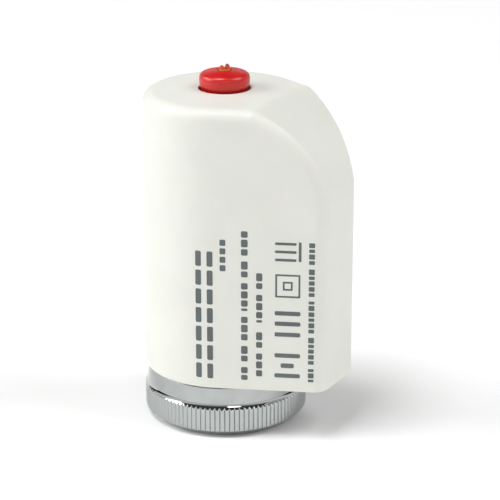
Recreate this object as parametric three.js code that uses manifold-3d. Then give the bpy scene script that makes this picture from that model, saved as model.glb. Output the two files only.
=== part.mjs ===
// Electro-thermal valve actuator head.
//
// Millimetres, +Z up. The origin lies on the union nut's axis, in the plane of the nut's lower end,
// and the housing's nose points along +X. The lifting parts are drawn in their raised position.

import * as THREE from 'three';
import { mergeVertices } from 'three/addons/utils/BufferGeometryUtils.js';
import Module from 'manifold-3d';

const wasm = await Module();
wasm.setup();

// ---------------------------------------------------------------------------------------------
// Driving dimensions
// ---------------------------------------------------------------------------------------------

const GAP = 0.3; // clearance kept wherever two pieces rest on each other
const CUT = 0.5; // how far a cutting tool runs past the face that it cuts
const FINE = 40; // sides of a large round
const COARSE = 20; // sides of a small round
const TINY = 10; // sides of a pin, lead or wire

const THREAD_MINOR_RADIUS = 14.19; // the bore of an M30 x 1.5 internal thread

const NUT = {
  height: 12.25,
  teeth: 104,
  ringRadius: 19,
  toothDepth: 0.42,
  footRadius: 17,
  footHeight: 1.8,
  ringTop: 7.35,
  shoulderRadius: 18.5,
  shoulderTop: 8.6,
  collarTopRadius: 18.2,
  mouthRadius: 15.6,
  mouthDepth: 1,
  reliefRadius: 15.4,
  reliefStart: 8.2,
  lipStart: 9.8,
  lipRadius: 13.2,
};

const COVER = {
  bottom: 12.57,
  top: 78.2,
  radiusBottom: 18.9,
  radiusTop: 18.75,
  wall: 1.8,
  roof: 2.2,
  rimRadius: 2.6,
  noseReach: 30.1,
  noseTaper: THREE.MathUtils.degToRad(22.8),
  noseCorner: 4,
  slopeRadius: 28.4,
  slopeX: 2.6,
  slopeZ: 52.1,
  slopeEnd: 74,
  slopeSteps: 4,
  holeRadius: 5.95,
};

const BASE = { bottom: 12.9, thickness: 2.5 };
const BASE_TOP = BASE.bottom + BASE.thickness;
const SPIGOT = {
  outerRadius: 12.9,
  boreRadius: 9.5,
  bottom: 7.4,
  grooveRadius: 12,
  grooveLow: 8.3,
  grooveHigh: 9.7,
};
const HOOK = {
  angles: [125, 160, 200, 235],
  reach: 15.5,
  thickness: 1.1,
  width: 4,
  height: 5,
  lip: 0.9,
  lipHeight: 1.5,
};
const TONGUE = { width: 12, height: 1, length: 0.8, low: 13.6 };
const RING = { innerRadius: 12.3, outerRadius: 14.3, bottom: 8.6, top: 9.4, opening: 5 };

const FRAME = {
  sheet: 1.2,
  legInner: 13.2,
  legHalfWidth: 4.5,
  footInner: 9.6,
  footBottom: BASE_TOP + GAP,
  plateBottom: 71.5,
  plateTop: 73,
  plateRadius: 10.6,
  holeRadius: 6.3,
};
const SCREW = {
  y: 11.2,
  headRadius: 1.7,
  headHeight: 1.5,
  shankRadius: 0.9,
  length: 4.2,
  holeRadius: 1.25,
  slot: 0.6,
};

const PLUNGER = { radius: 6, bottom: 23.2, thickness: 2.5, studRadius: 1.7, studTop: 28 };
const YOKE = {
  bridgeBottom: 26,
  bridge: 2.6,
  halfWidth: 4,
  legInner: 9.6,
  legOuter: 11.5,
  topBottom: 56,
  discRadius: 9.5,
  bossRadius: 7.2,
  bossBore: 4.3,
  bossTop: 60.2,
  studHole: 2,
};
const YOKE_TOP = YOKE.topBottom + YOKE.bridge;

const HOLDER = {
  bottom: 30,
  floorTop: 32,
  top: 38,
  outerRadius: 8.7,
  boreRadius: 7.2,
  armHalfWidth: 3.5,
  armTop: 33,
  tabHalfWidth: 2,
  tabBottom: 30.6,
  tabTop: 32.4,
  tabReach: 14.9,
};

const CONTACT = {
  radius: 6.6,
  sheet: 0.5,
  tabWidth: 3,
  tabReach: 11.5,
  angle: 50,
  lowerBottom: 32.3,
  upperBottom: 35.4,
};
const HEATER = { radius: 5.6, bottom: 33.1, thickness: 2 };
const CUP = {
  outerRadius: 6.5,
  innerRadius: 5.4,
  bottom: 36.2,
  floor: 1,
  rimBottom: 50.3,
  top: 51,
  rimRadius: 4.2,
};
const WAX = { radius: 5.1, bottom: 37.5, top: 47, boreRadius: 3.5, boreBottom: 38.5 };
const BOOT = {
  radius: 3.2,
  bottom: 38.8,
  floorTop: 39.5,
  boreRadius: 2.2,
  flangeBottom: 47.3,
  top: 48.3,
};
const GUIDE = { flangeBottom: 48.6, flangeTop: 50, neckRadius: 3.4, top: 51.5 };
const PISTON = { radius: 1.9, bottom: 43.8, top: YOKE.topBottom - GAP };

const WASHER = { innerRadius: 7.5, outerRadius: 9.5, bottom: YOKE_TOP + GAP, thickness: 0.6 };
const SPRING = { meanRadius: 8.5, wireRadius: 0.9, turns: 4.5, stepsPerTurn: 14, sides: 6 };
const SPRING_BOTTOM = WASHER.bottom + WASHER.thickness + GAP;
const SPRING_TOP = FRAME.plateBottom - GAP;

const CAP = {
  skirtRadius: 5.45,
  bottom: 74.8,
  skirtTop: 78.6,
  radius: 5.75,
  widest: 80.2,
  shoulderRadius: 4.9,
  shoulder: 81.6,
  top: 82.55,
  innerRadius: 4.3,
  roofBottom: 80.4,
  stemHole: 1.7,
};
const STEM = {
  footRadius: 4,
  footTop: 60.4,
  radius: 2.2,
  shoulder: 80.1,
  tipRadius: 1.35,
  top: 83.8,
  slotBottom: 81.6,
  slot: 0.5,
  slotAngle: -28,
};

const SOCKET = {
  centreX: 23.5,
  halfX: 3.3,
  halfY: 5,
  wall: 0.9,
  bottom: 13,
  recessTop: 21,
  top: 22.5,
  flangeX: 4.3,
  flangeY: 6.2,
  flangeTop: 16.7,
};
const PIN = { y: 2, radius: 0.7, bottom: 17.5, top: 24.5 };
const CRIMP = { radius: 1.3, bottom: PIN.top + GAP, top: 28 };
const LEAD = { radius: 0.8, steps: 16, sides: 8 };

const COLOURS = {
  housing: { color: 0xeff1ec, roughness: 0.45, metalness: 0 },
  chrome: { color: 0xc9ccce, roughness: 0.15, metalness: 1 },
  base: { color: 0xd9dcd8, roughness: 0.6, metalness: 0 },
  steel: { color: 0x9da2a6, roughness: 0.35, metalness: 1 },
  spring: { color: 0x70757a, roughness: 0.3, metalness: 1 },
  black: { color: 0x2b2d2f, roughness: 0.6, metalness: 0 },
  brass: { color: 0xc2a25a, roughness: 0.3, metalness: 1 },
  ceramic: { color: 0x8d8a84, roughness: 0.8, metalness: 0 },
  wax: { color: 0xe6dcae, roughness: 0.7, metalness: 0 },
  rubber: { color: 0x242424, roughness: 0.8, metalness: 0 },
  red: { color: 0xcd3531, roughness: 0.35, metalness: 0 },
  orange: { color: 0xd0502a, roughness: 0.4, metalness: 0 },
  live: { color: 0x6f4526, roughness: 0.5, metalness: 0 },
  neutral: { color: 0x3367a8, roughness: 0.5, metalness: 0 },
};

// ---------------------------------------------------------------------------------------------
// Shapes
// ---------------------------------------------------------------------------------------------

/** A closed geometry as a manifold solid: positions only, shared vertices merged. */
function solid(geometry) {
  const bare = geometry.clone();
  bare.deleteAttribute('normal');
  bare.deleteAttribute('uv');
  const welded = mergeVertices(bare);
  const corners = welded.index.array;
  const triangles = [];
  for (let i = 0; i < corners.length; i += 3) {
    const [a, b, c] = [corners[i], corners[i + 1], corners[i + 2]];
    if (a !== b && b !== c && c !== a) triangles.push(a, b, c);
  }
  const vertProperties = new Float32Array(welded.attributes.position.array);
  const triVerts = new Uint32Array(triangles);
  return new wasm.Manifold(new wasm.Mesh({ numProp: 3, vertProperties, triVerts }));
}

/** A manifold solid as a three.js geometry. */
function geometryOf(body) {
  const mesh = body.getMesh();
  const geometry = new THREE.BufferGeometry();
  geometry.setAttribute('position', new THREE.BufferAttribute(new Float32Array(mesh.vertProperties), 3));
  geometry.setIndex(new THREE.BufferAttribute(new Uint32Array(mesh.triVerts), 1));
  geometry.computeVertexNormals();
  return geometry;
}

/** The union of a list of solids. */
function joined(...bodies) {
  return bodies.reduce((whole, body) => whole.add(body));
}

/** A solid with a list of solids taken out of it. */
function cut(body, ...tools) {
  return tools.reduce((rest, tool) => rest.subtract(tool), body);
}

/** A block between two opposite corners. */
function block(low, high) {
  const size = high.map((value, axis) => value - low[axis]);
  const centre = high.map((value, axis) => (value + low[axis]) / 2);
  return new THREE.BoxGeometry(...size).translate(...centre);
}

/** An upright round bar. */
function rod(radius, low, high, sides, x = 0, y = 0) {
  return new THREE.CylinderGeometry(radius, radius, high - low, sides)
    .rotateX(Math.PI / 2)
    .translate(x, y, (low + high) / 2);
}

/** A profile of [radius, height] points turned about the Z axis; it runs up its outer side. */
function turned(profile, sides) {
  const points = profile.map(([radius, height]) => new THREE.Vector2(radius, height));
  return new THREE.LatheGeometry(points, sides).rotateX(Math.PI / 2);
}

/** A tube or ring of rectangular section, turned about the Z axis. */
function sleeve(inner, outer, low, high, sides) {
  return turned([[inner, low], [outer, low], [outer, high], [inner, high], [inner, low]], sides);
}

/** A flat outline given height along Z. */
function plate(shape, low, high) {
  return new THREE.ExtrudeGeometry(shape, { depth: high - low, bevelEnabled: false }).translate(0, 0, low);
}

/** A closed skin over a stack of rings that all have the same number of points. */
function skin(rings) {
  const count = rings[0].length;
  const positions = rings.flat().flatMap((point) => point.toArray());
  const triangles = [];
  const quad = (a, b, c, d) => triangles.push(a, b, c, a, c, d);
  for (let level = 0; level < rings.length - 1; level += 1) {
    for (let i = 0; i < count; i += 1) {
      const next = (i + 1) % count;
      const [low, high] = [level * count, (level + 1) * count];
      quad(low + i, low + next, high + next, high + i);
    }
  }
  const last = (rings.length - 1) * count;
  for (let i = 1; i < count - 1; i += 1) {
    triangles.push(0, i + 1, i);
    triangles.push(last, last + i, last + i + 1);
  }
  const geometry = new THREE.BufferGeometry();
  geometry.setAttribute('position', new THREE.Float32BufferAttribute(positions, 3));
  geometry.setIndex(triangles);
  return geometry;
}

/** A section of [radius, height] points carried up a helix about the Z axis. */
function helix(section, turns, pitch, bottom, stepsPerTurn) {
  const rings = [];
  for (let step = 0; step <= Math.round(turns * stepsPerTurn); step += 1) {
    const turn = step / stepsPerTurn;
    const angle = turn * 2 * Math.PI;
    const rise = bottom + turn * pitch;
    rings.push(section.map(([radius, height]) =>
      new THREE.Vector3(radius * Math.cos(angle), radius * Math.sin(angle), rise + height)));
  }
  return skin(rings);
}

// ---------------------------------------------------------------------------------------------
// The housing's outline
// ---------------------------------------------------------------------------------------------

/** How far the nose reaches along +X at a height: upright below, a round slope above. */
function noseReachAt(z) {
  const rise = Math.max(0, z - COVER.slopeZ);
  const slopeReach = COVER.slopeX + Math.sqrt(COVER.slopeRadius ** 2 - rise ** 2);
  return Math.min(COVER.noseReach, slopeReach);
}

/** The housing's plan outline at a height, drawn in by an inset: a round body and a tapered nose. */
function outline(z, inset) {
  const share = (z - COVER.bottom) / (COVER.top - COVER.bottom);
  const radius = THREE.MathUtils.lerp(COVER.radiusBottom, COVER.radiusTop, share);
  const tangent = Math.PI / 2 - COVER.noseTaper;
  const cornerX = noseReachAt(z) - COVER.noseCorner;
  const wall = (radius - COVER.noseCorner) / Math.cos(COVER.noseTaper);
  const cornerY = wall - cornerX * Math.tan(COVER.noseTaper);
  const points = [];
  const arc = (x, y, arcRadius, from, to, steps) => {
    for (let i = 0; i <= steps; i += 1) {
      const angle = THREE.MathUtils.lerp(from, to, i / steps);
      const reach = arcRadius - inset;
      points.push(new THREE.Vector2(x + reach * Math.cos(angle), y + reach * Math.sin(angle)));
    }
  };
  const cornerSteps = 5;
  const bodySteps = 26;
  arc(cornerX, cornerY, COVER.noseCorner, 0, tangent, cornerSteps);
  arc(0, 0, radius, tangent, 2 * Math.PI - tangent, bodySteps);
  arc(cornerX, -cornerY, COVER.noseCorner, -tangent, 0, cornerSteps);
  return points;
}

/** A solid block of the housing's outline, inset from it, with a rounded upper rim. */
function housingBlock(inset, bottom, top, rim, rimSteps) {
  const startAngle = Math.acos((COVER.noseReach - COVER.slopeX) / COVER.slopeRadius);
  const endAngle = Math.asin((COVER.slopeEnd - COVER.slopeZ) / COVER.slopeRadius);
  const levels = [{ z: bottom, draw: inset }];
  for (let i = 0; i <= COVER.slopeSteps; i += 1) {
    const angle = THREE.MathUtils.lerp(startAngle, endAngle, i / COVER.slopeSteps);
    levels.push({ z: COVER.slopeZ + COVER.slopeRadius * Math.sin(angle), draw: inset });
  }
  for (let i = 0; i <= rimSteps; i += 1) {
    const angle = (Math.PI / 2) * (i / rimSteps);
    const draw = inset + rim * (1 - Math.cos(angle));
    levels.push({ z: top - rim + rim * Math.sin(angle), draw });
  }
  return skin(levels.map(({ z, draw }) =>
    outline(z, draw).map((point) => new THREE.Vector3(point.x, point.y, z))));
}

/** The housing's outline as a shape, for flat pieces that fit inside it. */
function outlineShape(inset) {
  return new THREE.Shape(outline(COVER.bottom, inset));
}

/** Places a geometry, drawn on the +X side, at an angle about the Z axis. */
function turnedTo(geometry, degrees) {
  return geometry.rotateZ(THREE.MathUtils.degToRad(degrees));
}

// ---------------------------------------------------------------------------------------------
// Pieces
// ---------------------------------------------------------------------------------------------

function cover() {
  const outer = solid(housingBlock(0, COVER.bottom, COVER.top, COVER.rimRadius, 4));
  const inner = solid(housingBlock(COVER.wall, COVER.bottom - CUT, COVER.top - COVER.roof, CUT, 1));
  const hole = solid(rod(COVER.holeRadius, COVER.top - COVER.roof - CUT, COVER.top + CUT, FINE));
  const lipOuter = HOOK.reach + HOOK.thickness + HOOK.lip + GAP;
  const half = HOOK.width / 2 + GAP;
  const pocketHigh = BASE_TOP + HOOK.height + GAP;
  const pocketLow = pocketHigh - HOOK.lipHeight - 2 * GAP;
  const pockets = HOOK.angles.map((angle) =>
    solid(turnedTo(block([HOOK.reach, -half, pocketLow], [lipOuter, half, pocketHigh]), angle)));
  const grooveReach = COVER.noseReach - COVER.wall - GAP + TONGUE.length + GAP;
  const groove = solid(block(
    [SOCKET.centreX, -TONGUE.width / 2 - GAP, TONGUE.low - GAP],
    [grooveReach, TONGUE.width / 2 + GAP, TONGUE.low + TONGUE.height + GAP],
  ));
  return cut(outer, inner, hole, groove, ...pockets);
}

function base() {
  const fit = COVER.wall + GAP;
  const floor = solid(plate(outlineShape(fit), BASE.bottom, BASE_TOP));
  const spigot = solid(rod(SPIGOT.outerRadius, SPIGOT.bottom, BASE.bottom + CUT, FINE));
  const bore = solid(rod(SPIGOT.boreRadius, SPIGOT.bottom - CUT, BASE_TOP + CUT, FINE));
  const ringGroove = solid(sleeve(
    SPIGOT.grooveRadius, SPIGOT.outerRadius + CUT, SPIGOT.grooveLow, SPIGOT.grooveHigh, FINE,
  ));
  const socketHole = solid(block(
    [SOCKET.centreX - SOCKET.halfX - GAP, -SOCKET.halfY - GAP, BASE.bottom - CUT],
    [SOCKET.centreX + SOCKET.halfX + GAP, SOCKET.halfY + GAP, BASE_TOP + CUT],
  ));
  const screwHoles = [-1, 1].map((side) =>
    solid(rod(SCREW.holeRadius, BASE.bottom - CUT, BASE_TOP + CUT, TINY, 0, side * SCREW.y)));
  const half = HOOK.width / 2;
  const stemOuter = HOOK.reach + HOOK.thickness;
  const hookTop = BASE_TOP + HOOK.height;
  const hooks = HOOK.angles.flatMap((angle) => [
    solid(turnedTo(block([HOOK.reach, -half, BASE_TOP - CUT], [stemOuter, half, hookTop]), angle)),
    solid(turnedTo(
      block([HOOK.reach, -half, hookTop - HOOK.lipHeight], [stemOuter + HOOK.lip, half, hookTop]), angle,
    )),
  ]);
  const edge = COVER.noseReach - fit;
  const tongue = solid(block(
    [edge - CUT, -TONGUE.width / 2, TONGUE.low],
    [edge + TONGUE.length, TONGUE.width / 2, TONGUE.low + TONGUE.height],
  ));
  return cut(joined(floor, spigot, tongue, ...hooks), bore, ringGroove, socketHole, ...screwHoles);
}

/** One ring of the nut's outer skin: two points to a tooth, its crest and its root. */
function nutRing(crestRadius, rootRadius, z) {
  const points = [];
  for (let i = 0; i < 2 * NUT.teeth; i += 1) {
    const angle = (Math.PI * i) / NUT.teeth;
    const radius = i % 2 === 0 ? crestRadius : rootRadius;
    points.push(new THREE.Vector3(radius * Math.cos(angle), radius * Math.sin(angle), z));
  }
  return points;
}

function unionNut() {
  const root = NUT.ringRadius - NUT.toothDepth;
  const outside = solid(skin([
    nutRing(NUT.footRadius, NUT.footRadius, 0),
    nutRing(NUT.ringRadius, root, NUT.footHeight),
    nutRing(NUT.ringRadius, root, NUT.ringTop),
    nutRing(NUT.shoulderRadius, NUT.shoulderRadius, NUT.shoulderTop),
    nutRing(NUT.collarTopRadius, NUT.collarTopRadius, NUT.height),
  ]));
  const inside = solid(turned([
    [0, -CUT],
    [NUT.mouthRadius + CUT, -CUT],
    [THREAD_MINOR_RADIUS, NUT.mouthDepth],
    [THREAD_MINOR_RADIUS, NUT.reliefStart],
    [NUT.reliefRadius, NUT.reliefStart],
    [NUT.reliefRadius, NUT.lipStart],
    [NUT.lipRadius, NUT.lipStart],
    [NUT.lipRadius, NUT.height + CUT],
    [0, NUT.height + CUT],
  ], FINE));
  return cut(outside, inside);
}

function retainingRing() {
  const ring = solid(sleeve(RING.innerRadius, RING.outerRadius, RING.bottom, RING.top, FINE));
  const opening = solid(block(
    [-RING.outerRadius - CUT, -RING.opening / 2, RING.bottom - CUT],
    [-RING.innerRadius + CUT, RING.opening / 2, RING.top + CUT],
  ));
  return cut(ring, opening);
}

function springFrame() {
  const outer = FRAME.legInner + FRAME.sheet;
  const half = FRAME.legHalfWidth;
  const top = solid(rod(FRAME.plateRadius, FRAME.plateBottom, FRAME.plateTop, FINE));
  const arm = solid(block([-half, -outer, FRAME.plateBottom], [half, outer, FRAME.plateTop]));
  const sides = [-1, 1].flatMap((side) => {
    const [near, far] = [side * FRAME.legInner, side * outer].sort((a, b) => a - b);
    const [footNear, footFar] = [side * FRAME.footInner, side * outer].sort((a, b) => a - b);
    const footTop = FRAME.footBottom + FRAME.sheet;
    return [
      solid(block([-half, near, FRAME.footBottom], [half, far, FRAME.plateTop])),
      solid(block([-half, footNear, FRAME.footBottom], [half, footFar, footTop])),
    ];
  });
  const hole = solid(rod(FRAME.holeRadius, FRAME.plateBottom - CUT, FRAME.plateTop + CUT, COARSE));
  const slotHalf = HOLDER.tabHalfWidth + GAP;
  const slots = solid(block(
    [-slotHalf, -outer - CUT, HOLDER.tabBottom - GAP],
    [slotHalf, outer + CUT, HOLDER.tabTop + GAP],
  ));
  const screwHoles = [-1, 1].map((side) => solid(rod(
    SCREW.holeRadius, FRAME.footBottom - CUT, FRAME.footBottom + FRAME.sheet + CUT, TINY, 0, side * SCREW.y,
  )));
  return cut(joined(top, arm, ...sides), hole, slots, ...screwHoles);
}

function frameScrew(side) {
  const y = side * SCREW.y;
  const headBottom = FRAME.footBottom + FRAME.sheet + GAP;
  const headTop = headBottom + SCREW.headHeight;
  const head = solid(rod(SCREW.headRadius, headBottom, headTop, COARSE, 0, y));
  const shank = solid(rod(SCREW.shankRadius, headBottom - SCREW.length, headBottom + CUT, TINY, 0, y));
  const slot = solid(block(
    [-SCREW.headRadius, y - SCREW.slot / 2, headTop - SCREW.slot],
    [SCREW.headRadius, y + SCREW.slot / 2, headTop + CUT],
  ));
  return cut(joined(head, shank), slot);
}

function elementHolder() {
  const body = solid(rod(HOLDER.outerRadius, HOLDER.bottom, HOLDER.top, FINE));
  const armReach = FRAME.legInner - GAP;
  const arm = solid(block(
    [-HOLDER.armHalfWidth, -armReach, HOLDER.bottom],
    [HOLDER.armHalfWidth, armReach, HOLDER.armTop],
  ));
  const tab = solid(block(
    [-HOLDER.tabHalfWidth, -HOLDER.tabReach, HOLDER.tabBottom],
    [HOLDER.tabHalfWidth, HOLDER.tabReach, HOLDER.tabTop],
  ));
  const bore = solid(rod(HOLDER.boreRadius, HOLDER.floorTop, HOLDER.top + CUT, FINE));
  const half = CONTACT.tabWidth / 2 + GAP;
  const slots = [-1, 1].map((side) => solid(turnedTo(
    block([CUT, -half, HOLDER.floorTop], [HOLDER.outerRadius + CUT, half, HOLDER.top + CUT]),
    side * CONTACT.angle,
  )));
  return cut(joined(body, arm, tab), bore, ...slots);
}

/** A heater contact: a round plate with a tab that leaves the holder at an angle. */
function contact(bottom, side) {
  const top = bottom + CONTACT.sheet;
  const half = CONTACT.tabWidth / 2;
  const disc = solid(rod(CONTACT.radius, bottom, top, COARSE));
  const tab = solid(turnedTo(block([0, -half, bottom], [CONTACT.tabReach, half, top]), side * CONTACT.angle));
  return joined(disc, tab);
}

function heater() {
  return solid(rod(HEATER.radius, HEATER.bottom, HEATER.bottom + HEATER.thickness, COARSE));
}

function waxCup() {
  return solid(turned([
    [0, CUP.bottom],
    [CUP.outerRadius, CUP.bottom],
    [CUP.outerRadius, CUP.top],
    [CUP.rimRadius, CUP.top],
    [CUP.rimRadius, CUP.rimBottom],
    [CUP.innerRadius, CUP.rimBottom],
    [CUP.innerRadius, CUP.bottom + CUP.floor],
    [0, CUP.bottom + CUP.floor],
  ], COARSE));
}

function waxCharge() {
  return solid(turned([
    [0, WAX.bottom],
    [WAX.radius, WAX.bottom],
    [WAX.radius, WAX.top],
    [WAX.boreRadius, WAX.top],
    [WAX.boreRadius, WAX.boreBottom],
    [0, WAX.boreBottom],
  ], COARSE));
}

function rubberBoot() {
  return solid(turned([
    [0, BOOT.bottom],
    [BOOT.radius, BOOT.bottom],
    [BOOT.radius, BOOT.flangeBottom],
    [WAX.radius, BOOT.flangeBottom],
    [WAX.radius, BOOT.top],
    [BOOT.boreRadius, BOOT.top],
    [BOOT.boreRadius, BOOT.floorTop],
    [0, BOOT.floorTop],
  ], COARSE));
}

function pistonGuide() {
  return solid(turned([
    [BOOT.boreRadius, GUIDE.flangeBottom],
    [WAX.radius, GUIDE.flangeBottom],
    [WAX.radius, GUIDE.flangeTop],
    [GUIDE.neckRadius, GUIDE.flangeTop],
    [GUIDE.neckRadius, GUIDE.top],
    [BOOT.boreRadius, GUIDE.top],
    [BOOT.boreRadius, GUIDE.flangeBottom],
  ], COARSE));
}

function piston() {
  return solid(rod(PISTON.radius, PISTON.bottom, PISTON.top, COARSE));
}

function yoke() {
  const bottomTop = YOKE.bridgeBottom + YOKE.bridge;
  const half = YOKE.halfWidth;
  const reach = YOKE.legOuter;
  const bottomBridge = solid(block([-reach, -half, YOKE.bridgeBottom], [reach, half, bottomTop]));
  const topBridge = solid(block([-reach, -half, YOKE.topBottom], [reach, half, YOKE_TOP]));
  const disc = solid(rod(YOKE.discRadius, YOKE.topBottom, YOKE_TOP, FINE));
  const boss = solid(rod(YOKE.bossRadius, YOKE_TOP - CUT, YOKE.bossTop, FINE));
  const bossBore = solid(rod(YOKE.bossBore, YOKE_TOP, YOKE.bossTop + CUT, COARSE));
  const legs = [[-reach, -YOKE.legInner], [YOKE.legInner, reach]].map(([near, far]) =>
    solid(block([near, -half, YOKE.bridgeBottom], [far, half, YOKE_TOP])));
  const studHole = solid(rod(YOKE.studHole, YOKE.bridgeBottom - CUT, bottomTop + CUT, COARSE));
  return cut(joined(bottomBridge, topBridge, disc, boss, ...legs), bossBore, studHole);
}

function plunger() {
  const discTop = PLUNGER.bottom + PLUNGER.thickness;
  const disc = solid(rod(PLUNGER.radius, PLUNGER.bottom, discTop, COARSE));
  const stud = solid(rod(PLUNGER.studRadius, discTop - CUT, PLUNGER.studTop, COARSE));
  return joined(disc, stud);
}

function springWasher() {
  const top = WASHER.bottom + WASHER.thickness;
  return solid(sleeve(WASHER.innerRadius, WASHER.outerRadius, WASHER.bottom, top, FINE));
}

/** The closing spring, drawn compressed between its washer and the frame. */
function closingSpring() {
  const section = [];
  for (let i = 0; i < SPRING.sides; i += 1) {
    const angle = (2 * Math.PI * i) / SPRING.sides;
    section.push([
      SPRING.meanRadius - SPRING.wireRadius * Math.cos(angle),
      SPRING.wireRadius * Math.sin(angle),
    ]);
  }
  const rise = SPRING_TOP - SPRING_BOTTOM - 2 * SPRING.wireRadius;
  const first = SPRING_BOTTOM + SPRING.wireRadius;
  return solid(helix(section, SPRING.turns, rise / SPRING.turns, first, SPRING.stepsPerTurn));
}

function indicatorStem() {
  const body = solid(turned([
    [0, WASHER.bottom],
    [STEM.footRadius, WASHER.bottom],
    [STEM.footRadius, STEM.footTop],
    [STEM.radius, STEM.footTop],
    [STEM.radius, STEM.shoulder],
    [STEM.tipRadius, STEM.shoulder],
    [STEM.tipRadius, STEM.top],
    [0, STEM.top],
  ], COARSE));
  const slot = solid(turnedTo(block(
    [-STEM.tipRadius - CUT, -STEM.slot / 2, STEM.slotBottom],
    [STEM.tipRadius + CUT, STEM.slot / 2, STEM.top + CUT],
  ), STEM.slotAngle));
  return cut(body, slot);
}

function indicatorCap() {
  return solid(turned([
    [CAP.innerRadius, CAP.bottom],
    [CAP.skirtRadius, CAP.bottom],
    [CAP.skirtRadius, CAP.skirtTop],
    [CAP.radius, CAP.widest],
    [CAP.radius - (CAP.radius - CAP.shoulderRadius) / 3, (CAP.widest + CAP.shoulder) / 2],
    [CAP.shoulderRadius, CAP.shoulder],
    [CAP.stemHole, CAP.top],
    [CAP.stemHole, CAP.roofBottom],
    [CAP.innerRadius, CAP.roofBottom],
    [CAP.innerRadius, CAP.bottom],
  ], FINE));
}

function leadSocket() {
  const x = SOCKET.centreX;
  const { halfX, halfY, wall } = SOCKET;
  const body = solid(block([x - halfX, -halfY, SOCKET.bottom], [x + halfX, halfY, SOCKET.top]));
  const flange = solid(block(
    [x - SOCKET.flangeX, -SOCKET.flangeY, BASE_TOP + GAP],
    [x + SOCKET.flangeX, SOCKET.flangeY, SOCKET.flangeTop],
  ));
  const recess = solid(block(
    [x - halfX + wall, -halfY + wall, SOCKET.bottom - CUT],
    [x + halfX - wall, halfY - wall, SOCKET.recessTop],
  ));
  const pinHoles = [-1, 1].map((side) =>
    solid(rod(PIN.radius + GAP, SOCKET.recessTop - CUT, SOCKET.top + CUT, TINY, x, side * PIN.y)));
  return cut(joined(body, flange), recess, ...pinHoles);
}

function socketPin(side) {
  return solid(rod(PIN.radius, PIN.bottom, PIN.top, TINY, SOCKET.centreX, side * PIN.y));
}

function crimp(side) {
  return solid(rod(CRIMP.radius, CRIMP.bottom, CRIMP.top, TINY, SOCKET.centreX, side * PIN.y));
}

/** An inner lead along its route, from a contact's tab to a pin's crimp sleeve. */
function lead(route) {
  const path = new THREE.CatmullRomCurve3(route.map((point) => new THREE.Vector3(...point)));
  const section = new THREE.Shape();
  section.absarc(0, 0, LEAD.radius, 0, 2 * Math.PI);
  const curveSegments = LEAD.sides / 2;
  return solid(new THREE.ExtrudeGeometry(section, { steps: LEAD.steps, extrudePath: path, curveSegments }));
}

const CRIMP_END = CRIMP.top + GAP;
const LIVE_ROUTE = [
  [6.6, 7.9, 37], [9.6, 9.5, 36.6], [14, 8.4, 34.6], [19, 5.2, 32.4],
  [22.7, 2.8, 31], [SOCKET.centreX, PIN.y, CRIMP_END],
];
const NEUTRAL_ROUTE = [
  [6.6, -7.9, 33.9], [9.6, -9.5, 33.7], [14, -8.4, 32.8], [19, -5.2, 31.6],
  [22.7, -2.8, 30.7], [SOCKET.centreX, -PIN.y, CRIMP_END],
];

// ---------------------------------------------------------------------------------------------
// Assembly
// ---------------------------------------------------------------------------------------------

const actuator = new THREE.Group();

/** Adds one piece to the assembly, in a material of its own. */
function addPiece(name, body, finish) {
  const mesh = new THREE.Mesh(geometryOf(body), new THREE.MeshStandardMaterial(finish));
  mesh.name = name;
  actuator.add(mesh);
}

addPiece('cover', cover(), COLOURS.housing);
addPiece('base', base(), COLOURS.base);
addPiece('union_nut', unionNut(), COLOURS.chrome);
addPiece('retaining_ring', retainingRing(), COLOURS.steel);
addPiece('spring_frame', springFrame(), COLOURS.steel);
addPiece('frame_screw_left', frameScrew(1), COLOURS.steel);
addPiece('frame_screw_right', frameScrew(-1), COLOURS.steel);
addPiece('element_holder', elementHolder(), COLOURS.black);
addPiece('lower_contact', contact(CONTACT.lowerBottom, -1), COLOURS.brass);
addPiece('ptc_heater', heater(), COLOURS.ceramic);
addPiece('upper_contact', contact(CONTACT.upperBottom, 1), COLOURS.brass);
addPiece('wax_cup', waxCup(), COLOURS.brass);
addPiece('wax_charge', waxCharge(), COLOURS.wax);
addPiece('rubber_boot', rubberBoot(), COLOURS.rubber);
addPiece('piston_guide', pistonGuide(), COLOURS.brass);
addPiece('piston', piston(), COLOURS.steel);
addPiece('yoke', yoke(), COLOURS.black);
addPiece('plunger', plunger(), COLOURS.steel);
addPiece('spring_washer', springWasher(), COLOURS.steel);
addPiece('closing_spring', closingSpring(), COLOURS.spring);
addPiece('indicator_stem', indicatorStem(), COLOURS.orange);
addPiece('indicator_cap', indicatorCap(), COLOURS.red);
addPiece('lead_socket', leadSocket(), COLOURS.black);
addPiece('socket_pin_live', socketPin(1), COLOURS.brass);
addPiece('socket_pin_neutral', socketPin(-1), COLOURS.brass);
addPiece('live_crimp', crimp(1), COLOURS.brass);
addPiece('neutral_crimp', crimp(-1), COLOURS.brass);
addPiece('live_lead', lead(LIVE_ROUTE), COLOURS.live);
addPiece('neutral_lead', lead(NEUTRAL_ROUTE), COLOURS.neutral);

export default actuator;
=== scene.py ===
# Looks of an electro-thermal valve actuator head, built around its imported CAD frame.
import math

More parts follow.
